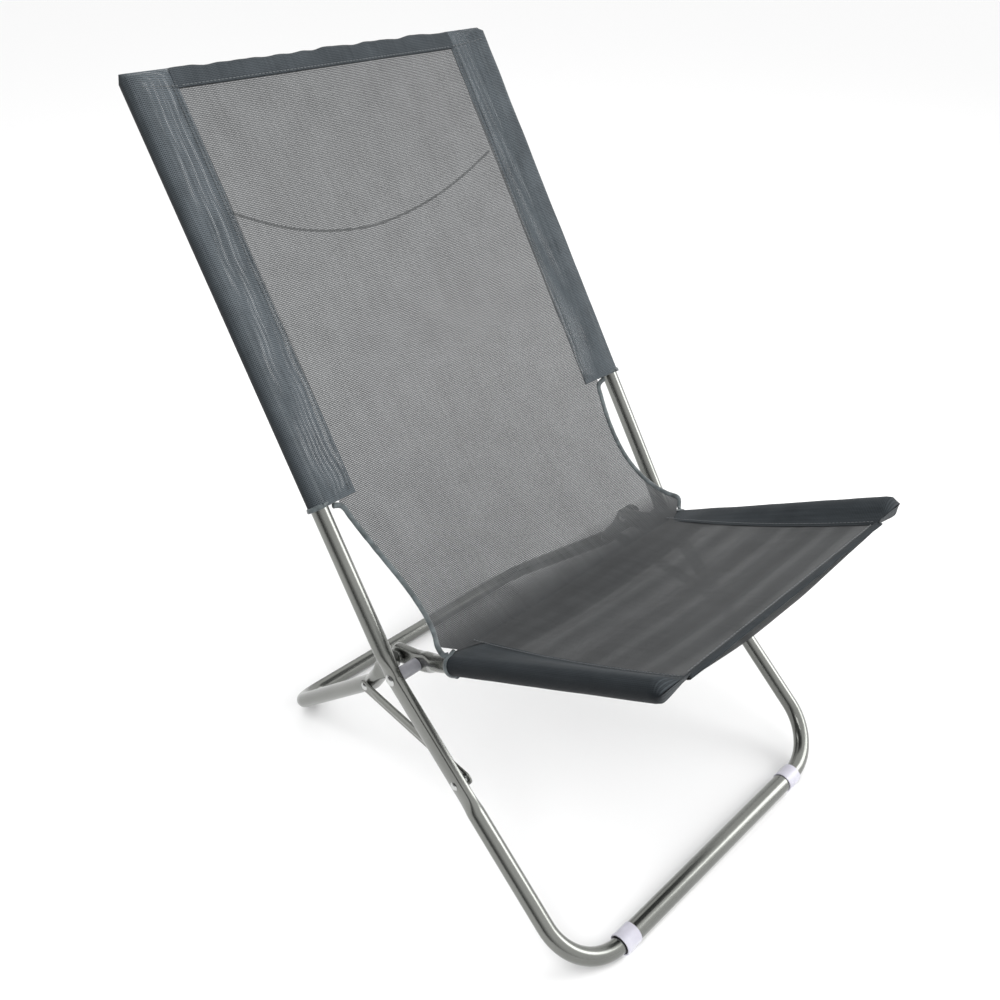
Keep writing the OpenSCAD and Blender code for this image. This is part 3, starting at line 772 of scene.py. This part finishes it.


# Painted shade: the tone that the seat's cloth is lowered to.
SEAT_SHADE_TONE = 0.46
SEAT_SAG, BACK_SAG, RIPPLE, BAND_DEPTH = 0.010, 0.004, 0.0016, 0.0042
panel_rows, panel_tones = [], []
profile = fold_line()
for i, (y, z, half) in enumerate(profile):
    ahead, behind = profile[min(i + 1, len(profile) - 1)], profile[max(i - 1, 0)]
    tangent = Vector((0, ahead[0] - behind[0], ahead[1] - behind[1])).normalized()
    normal = Vector((0, tangent.z, -tangent.y))
    if normal.z < 0:
        normal = -normal
    row = []
    run = i / (len(profile) - 1)
    seat_share = max(0.0, min(1.0, (i - LAST_FOLD_ROW) / 12))
    back_share = 1 - max(0.0, min(1.0, (i - 60) / 30))
    for k in range(COLUMNS + 1):
        across = -1 + 2 * k / COLUMNS
        x = half * across / 1000
        bow = 1 - across ** 2
        sag = -SEAT_SAG * seat_share * bow - BACK_SAG * back_share * bow * sin(pi * min(1, i / (BACK_ROWS - 1)))
        band_wave = BAND_DEPTH * seat_share * noise.noise(Vector((x * 2.0, i * 0.20, 5.0)))
        push = sag * 0.6 + (1 - across ** 4) * (ripple(x, run * 5, RIPPLE) + band_wave)
        row.append(side_point(x, y, z) + normal * push)
    panel_rows.append(row)
    # The seat gets painted shade: a lower tone than the back, with uneven painted light and dark bands across it.
    shaded_share = max(0.0, min(1.0, (i - (LAST_FOLD_ROW - 6)) / 7))
    shade_band = 1 + 0.38 * noise.noise(Vector((0.4, i * 0.33, 1.7))) + 0.26 * noise.noise(Vector((9.4, i * 0.9, 1.7)))
    panel_tones.append([1 - shaded_share + shaded_share * SEAT_SHADE_TONE * shade_band] * (COLUMNS + 1))

sling = sheet_mesh("sling_cloth", panel_rows, panel_tones)
sling.data.materials.append(slate_mesh)
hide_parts("back_sling", "seat_sling", "fold_sling")
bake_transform(sling)

# ---------------------------------------------------------------------------
# Sleeves. The cloth's sides turned round the back posts and the seat rails and sewn to
# themselves, closed at the top and at the front.
# ---------------------------------------------------------------------------

POST_HALF, RAIL_HALF = 228, 191
BACK_SEAM, SEAT_SEAM = 182, 158
SLEEVE_R, BACK_LAYER_LIFT = 11.1, 0.5
CLOSING = 7
BACK_SLEEVE_S, SEAT_SLEEVE_S = (193, 650), (57, 347)
SHADE_AT, SHADE_SPREAD = 0.53, 0.18


def sleeve_rows(at, start, end, axis_half, seam_half, lift, seed):
    """A loop of cloth: flat from the seam to the tube, round the tube's outer side and back. The two layers
    meet over the last few millimetres, where the sleeve is sewn shut."""
    rows, steps = [], 56
    flat = axis_half - seam_half

    def layer(s, r, f, face):
        """A point between the seam (f = 0) and the top or bottom of the tube (f = 1)."""
        ease = eased(f)
        return flat * f - flat, lift(s) * (1 - ease) + face * (r * ease + 0.8 * (1 - ease))

    for i in range(steps + 1):
        s = start + (end - start) * (i / steps)
        shut = max(0.0, (s - (end - CLOSING)) / CLOSING) ** 2
        r = SLEEVE_R * (1 - 0.25 * shut)
        outline = [layer(s, r, k / 12, 1) for k in range(13)]
        for k in range(1, 24):
            a = pi / 2 - pi * k / 24
            outline.append((r * cos(a), r * sin(a)))
        outline += [layer(s, r, 1 - k / 12, -1) for k in range(13)]
        row = []
        for x, h in outline:
            wobble = 0.5 * noise.noise(Vector((x * 0.05 + seed, s * 0.03, h * 0.08)))
            y, z = at(s, h * (1 - 0.94 * shut) + wobble)
            row.append((axis_half + x + wobble * 0.5, y, z))
        rows.append(row)
    return rows


def sleeve(name, side, rows_mm, node, body, tone, outer_side_shade):
    """One sleeve in its place, with painted shade round the outer side of its tube."""
    rows = [[side_point(side * x / 1000, y, z) for x, y, z in row] for row in rows_mm]
    last = len(rows[0]) - 1
    tone_row = [tone * (1.0 - outer_side_shade * math.exp(-((k / last - SHADE_AT) / SHADE_SPREAD) ** 2))
                for k in range(last + 1)]
    if side < 0:
        rows = [row[::-1] for row in rows]
        tone_row = tone_row[::-1]
    made = sheet_mesh(name, rows, [tone_row] * len(rows))
    made.data.materials.append(slate_mesh_turned)
    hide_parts(node)
    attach(made, body)


def seat_sleeve_lift(s):
    """The seat sleeve's layers follow the panel, and dip at the rear to stay under the bound edge."""
    return seat_lift(s) - 3.5 * max(0.0, 1 - (s - SEAT_SLEEVE_S[0]) / 34)


for side_name, side in (("right", 1), ("left", -1)):
    back_rows = sleeve_rows(back_at, *BACK_SLEEVE_S, POST_HALF, BACK_SEAM, lambda s: BACK_LAYER_LIFT, 2.0 * side)
    sleeve("back_sleeve_cloth_" + side_name, side, back_rows, "back_sleeve_" + side_name, "main_frame",
           tone=1.50, outer_side_shade=0.90)
    # The seat sleeves' low tone is the seat's painted shade.
    seat_rows = sleeve_rows(seat_at, *SEAT_SLEEVE_S, RAIL_HALF, SEAT_SEAM, seat_sleeve_lift, 5.0 * side)
    sleeve("seat_sleeve_cloth_" + side_name, side, seat_rows, "seat_sleeve_" + side_name, "seat",
           tone=0.52, outer_side_shade=0.95)

# ---------------------------------------------------------------------------
# Hems. The cloth's top edge turned over twice, and a narrow rolled edge along the seat's front;
# both are sewn down and a little wavy.
# ---------------------------------------------------------------------------


def hem_rows(at, lift, start, end, half, thick, wave, seed, columns=96, steps=9):
    """A turned hem seen as a flat roll: down the front face, round the free edge, and up the back face."""
    rows = []
    for side_way, order in ((1, range(steps + 1)), (-1, range(steps - 1, -1, -1))):
        for i in order:
            t = i / steps
            row = []
            for k in range(columns + 1):
                x = half * (-1 + 2 * k / columns)
                wander = wave * (noise.noise(Vector((x * 0.018 + seed, 0.3, 1.1)))
                                 + 0.6 * noise.noise(Vector((x * 0.06 + seed, 4.3, 1.1))))
                s = start + (end - start) * t + wander * t
                swell = thick * (0.55 + 0.45 * sin(pi * min(1.0, t * 1.15))) * (0.15 if i == steps else 1.0)
                bulge = 0.35 * noise.noise(Vector((x * 0.05 + seed, s * 0.15, 2.0)))
                y, z = at(s, lift + side_way * (swell + bulge))
                row.append(side_point(x / 1000, y, z))
            rows.append(row)
    return rows


top_rows = hem_rows(back_at, lift=1.0, start=629, end=649.5, half=185, thick=1.6, wave=2.6, seed=3.0)
front_rows = hem_rows(seat_at, lift=SEAT_LIFT, start=337.5, end=346.5, half=SEAT_HALF, thick=1.7, wave=1.6,
                      seed=8.0)
# The front hem's low tone is the seat's painted shade.
for name, rows, tone, node, body in (("top_hem_cloth", top_rows, 0.80, "top_hem", "main_frame"),
                                     ("front_hem_cloth", front_rows, 0.42, "front_hem", "seat")):
    hem = sheet_mesh(name, rows, [[tone] * len(rows[0])] * len(rows))
    hem.data.materials.append(slate_mesh_turned)
    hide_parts(node)
    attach(hem, body)

# ---------------------------------------------------------------------------
# Bound edges. Folded woven tape sewn round each cut-out, from the foot of the back sleeve down
# to the fold, and round the open ends of the sleeves.
# ---------------------------------------------------------------------------

tape_finish, nodes, links, shader = new_finish("binding_tape", {"Sheen Weight": 0.3, "Roughness": 0.7})
place = nodes.new("ShaderNodeTexCoord").outputs["Object"]
ribbed = set_sockets(nodes.new("ShaderNodeTexWave"), {"Scale": 260, "Distortion": 1.5})
links.new(place, ribbed.inputs["Vector"])
mottle = noise_value(nodes, links, place, {"Scale": 120, "Detail": 5})
links.new(tone_ramp(nodes, links, mottle, (0.028, 0.036, 0.039), (0.115, 0.138, 0.145), 0.3, 0.75),
          shader.inputs["Base Color"])
bumped(nodes, links, ribbed.outputs["Fac"], shader, 0.5, 0.0004)


def taped_edge(name, line, wide, thick, face_way, around=16):
    """Tape folded over an edge: an oval roll that follows the edge, a little uneven."""
    verts = []
    for i, (p, t, u, v) in enumerate(frames_along(line, Vector(face_way))):
        pull = 1 + 0.10 * noise.noise(Vector((i * 0.31, 2.0, 7.0)))
        for k in range(around):
            a = 2 * pi * k / around
            verts.append(p + u * thick / 2 * sin(a) * pull + v * wide / 2 * cos(a) * pull)
    made = ringed_piece(name, verts, around)
    made.data.materials.append(tape_finish)
    return made


MOUTH_R = 12.0
for side_name, side in (("right", 1), ("left", -1)):
    column = COLUMNS if side > 0 else 0
    edge = [panel_rows[i][column] for i in range(BACK_ROWS, LAST_FOLD_ROW + 1, 3)]
    outer_foot = side_point(side * 0.214, *back_at(BACK_END_S, 3.0))
    seat_foot = [side_point(side * 0.197, *seat_at(57, 14.5)), side_point(side * 0.193, *seat_at(60, 12.5))]
    edge_line = catmull([outer_foot] + edge + seat_foot, 5)
    bound = taped_edge("cutout_binding_" + side_name, edge_line, wide=0.0062, thick=0.0036,
                       face_way=(0, -sin(BACK_ANGLE), cos(BACK_ANGLE)))
    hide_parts("binding_" + side_name)
    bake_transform(bound)
    for name, at, s, axis_half, lift, inner, body in (
            ("back_sleeve_mouth_", back_at, 194.5, POST_HALF, BACK_LAYER_LIFT, 24, "main_frame"),
            ("seat_sleeve_mouth_", seat_at, 60.0, RAIL_HALF, seat_lift(60), 6, "seat")):
        ring = []
        for k in range(6):
            f = k / 5
            x = axis_half - inner * (1 - f)
            ring.append(side_point(side * x / 1000, *at(s, (lift + 1.0) * (1 - f) + MOUTH_R * f)))
        for k in range(1, 25):
            a = pi / 2 - pi * k / 24
            ring.append(side_point(side * (axis_half + MOUTH_R * cos(a)) / 1000, *at(s, MOUTH_R * sin(a))))
        mouth = taped_edge(name + side_name, catmull(ring, 3), wide=0.0052, thick=0.0020,
                           face_way=(side, 0, 0.2))
        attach(mouth, body)

# ---------------------------------------------------------------------------
# Stitching. Grey sewing thread: one row along each hem, seat seam and closed sleeve top, and two
# rows along the seams of the back sleeves, where the load pulls.
# ---------------------------------------------------------------------------

thread_finish, nodes, links, shader = new_finish("sewing_thread", {"Roughness": 0.6, "Sheen Weight": 0.3})
fleck = noise_value(nodes, links, None, {"Scale": 500})
links.new(tone_ramp(nodes, links, fleck, (0.030, 0.035, 0.038), (0.145, 0.160, 0.170)), shader.inputs["Base Color"])


def stitch_row(name, line, body, length=0.0032, gap=0.0012, radius=0.00045, sunk=0.15):
    """Short stitches of thread that bow out of the cloth along a line of (point, outward way)."""
    verts, faces, around, steps = [], [], 6, 4
    travelled = [0.0]
    for a, b in zip(line, line[1:]):
        travelled.append(travelled[-1] + (b[0] - a[0]).length)

    def at(distance):
        for i in range(len(line) - 1):
            if travelled[i + 1] >= distance:
                f = (distance - travelled[i]) / max(1e-9, travelled[i + 1] - travelled[i])
                return line[i][0].lerp(line[i + 1][0], f), line[i][1].lerp(line[i + 1][1], f).normalized()
        return line[-1]

    start = gap
    while start + length < travelled[-1]:
        faces += tube_faces(steps + 1, around, len(verts))
        way = (at(start + length)[0] - at(start)[0]).normalized()
        for i in range(steps + 1):
            t = i / steps
            p, out = at(start + length * t)
            side_way = way.cross(out).normalized()
            slim = radius * (0.35 + 0.65 * sin(pi * (0.12 + 0.76 * t)))
            centre = p + out * (radius * (0.9 * sin(pi * t) - sunk))
            for k in range(around):
                a = 2 * pi * k / around
                verts.append(tuple(centre + (side_way * cos(a) + out * sin(a)) * slim))
        start += length + gap
    mesh = bpy.data.meshes.new(name)
    mesh.from_pydata(verts, [], faces)
    made = smooth(new_object(name, mesh))
    made.data.materials.append(thread_finish)
    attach(made, body)


back_out = Vector((0, -sin(BACK_ANGLE), cos(BACK_ANGLE)))
seat_out = Vector((0, sin(SEAT_ANGLE), cos(SEAT_ANGLE)))
BACK_STITCHES_AT, SEAT_STITCHES_AT = (184.5, 188.5), 161.5
for side_name, side in (("right", 1), ("left", -1)):
    for row_number, x in enumerate(BACK_STITCHES_AT):
        ease = eased((x - BACK_SEAM) / (POST_HALF - BACK_SEAM))
        lift = BACK_LAYER_LIFT * (1 - ease) + SLEEVE_R * ease + 1.35
        seam = [(side_point(side * x / 1000, *back_at(s, lift)), back_out) for s in range(197, 645, 8)]
        stitch_row("back_seam_stitch_%d_%s" % (row_number, side_name), seam, "main_frame")
    ease = eased((SEAT_STITCHES_AT - SEAT_SEAM) / (RAIL_HALF - SEAT_SEAM))
    x = side * SEAT_STITCHES_AT / 1000
    seam = [(side_point(x, *seat_at(s, seat_lift(s) * (1 - ease) + SLEEVE_R * ease + 1.5)), seat_out)
            for s in range(64, 344, 8)]
    stitch_row("seat_seam_stitch_" + side_name, seam, "seat")
    closed_top = []
    for k in range(11):
        x = BACK_SEAM + (POST_HALF - BACK_SEAM) * k / 10
        closed_top.append((side_point(side * x / 1000, *back_at(631, 2.2 + 10.6 * (k / 10) ** 1.3)), back_out))
    stitch_row("sleeve_top_stitch_" + side_name, closed_top, "main_frame")
hem_line = [(side_point(x / 1000, *back_at(630.5, 3.2)), back_out) for x in range(-180, 181, 10)]
stitch_row("top_hem_stitch", hem_line, "main_frame")
hem_line = [(side_point(x / 1000, *seat_at(338.6, SEAT_LIFT + 2.6)), seat_out) for x in range(-156, 157, 10)]
stitch_row("front_hem_stitch", hem_line, "seat")
